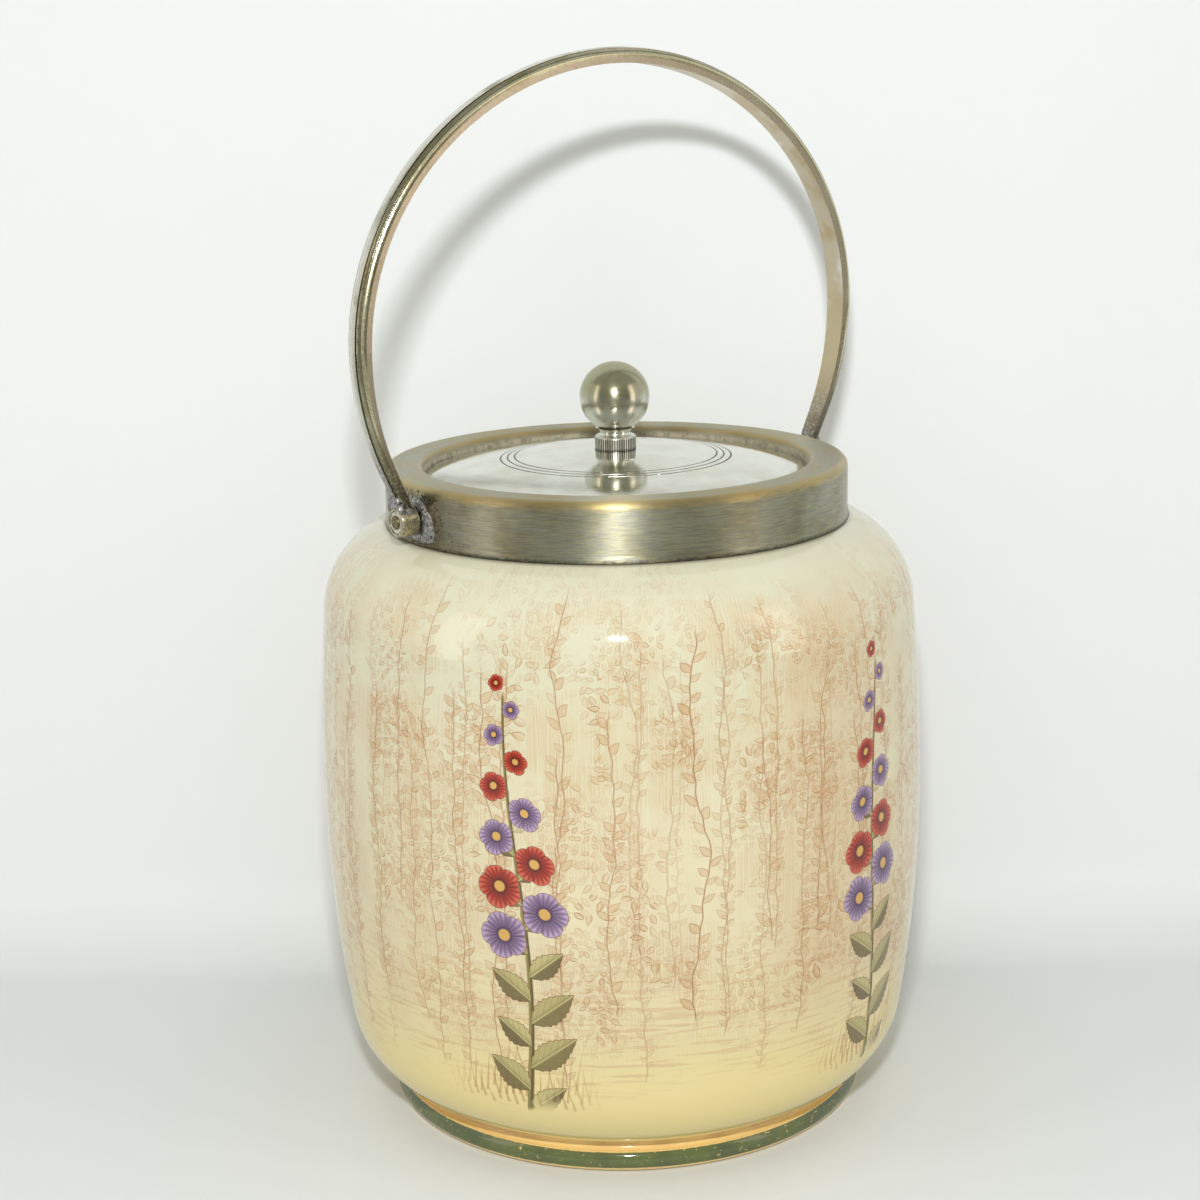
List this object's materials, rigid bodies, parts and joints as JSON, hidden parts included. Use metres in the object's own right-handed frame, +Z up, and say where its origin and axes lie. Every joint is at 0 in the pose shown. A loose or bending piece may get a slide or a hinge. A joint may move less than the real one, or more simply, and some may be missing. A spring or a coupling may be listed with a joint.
{
  "type": "biscuit jar",
  "caption": "Glazed pottery biscuit jar with a plated collar, a domed lift-off lid with a ball knob, and a tall swing handle.",
  "frame": {"origin": "centre of the foot ring, on the surface the jar stands on", "axes": "+Z up along the jar's axis; the handle's pivot axis runs along X; the handle leans slightly towards -Y"},
  "size_m": [0.1474, 0.1474, 0.256],
  "materials": {
    "glazed_pottery": "cream glaze over a transfer print, green band on the foot",
    "plaster": "matte",
    "silver_plate": "worn silver plate over brass, polished, tarnished in its recesses",
    "bare_brass": "dull brass"
  },
  "bodies": {
    "jar": {"jar_body": "glazed_pottery", "plaster_bed": "plaster", "collar": "silver_plate", "collar_seat_ring": "silver_plate", "left_pivot_pad": "silver_plate", "right_pivot_pad": "silver_plate", "left_pivot_stud": "bare_brass", "right_pivot_stud": "bare_brass", "left_stud_washer": "bare_brass", "right_stud_washer": "bare_brass"},
    "handle": {"handle_strip": "silver_plate", "left_knuckle": "silver_plate", "right_knuckle": "silver_plate"},
    "lid": {"lid_disc": "silver_plate", "lid_locating_ring": "silver_plate", "knob_ball": "silver_plate", "knob_neck": "silver_plate", "knurled_ferrule": "silver_plate", "knob_stud": "bare_brass", "knob_washer": "bare_brass", "knob_nut": "bare_brass"}
  },
  "joints": [
    {"name": "handle_swing", "type": "hinge", "parent": "jar", "child": "handle", "pos_m": [0, 0, 0.1514], "axis": [1, 0, 0], "range_deg": [-125, 122]},
    {"name": "lid_lift", "type": "slide", "parent": "jar", "child": "lid", "axis": [0, 0, 1], "range_m": [0, 0.06]}
  ]
}
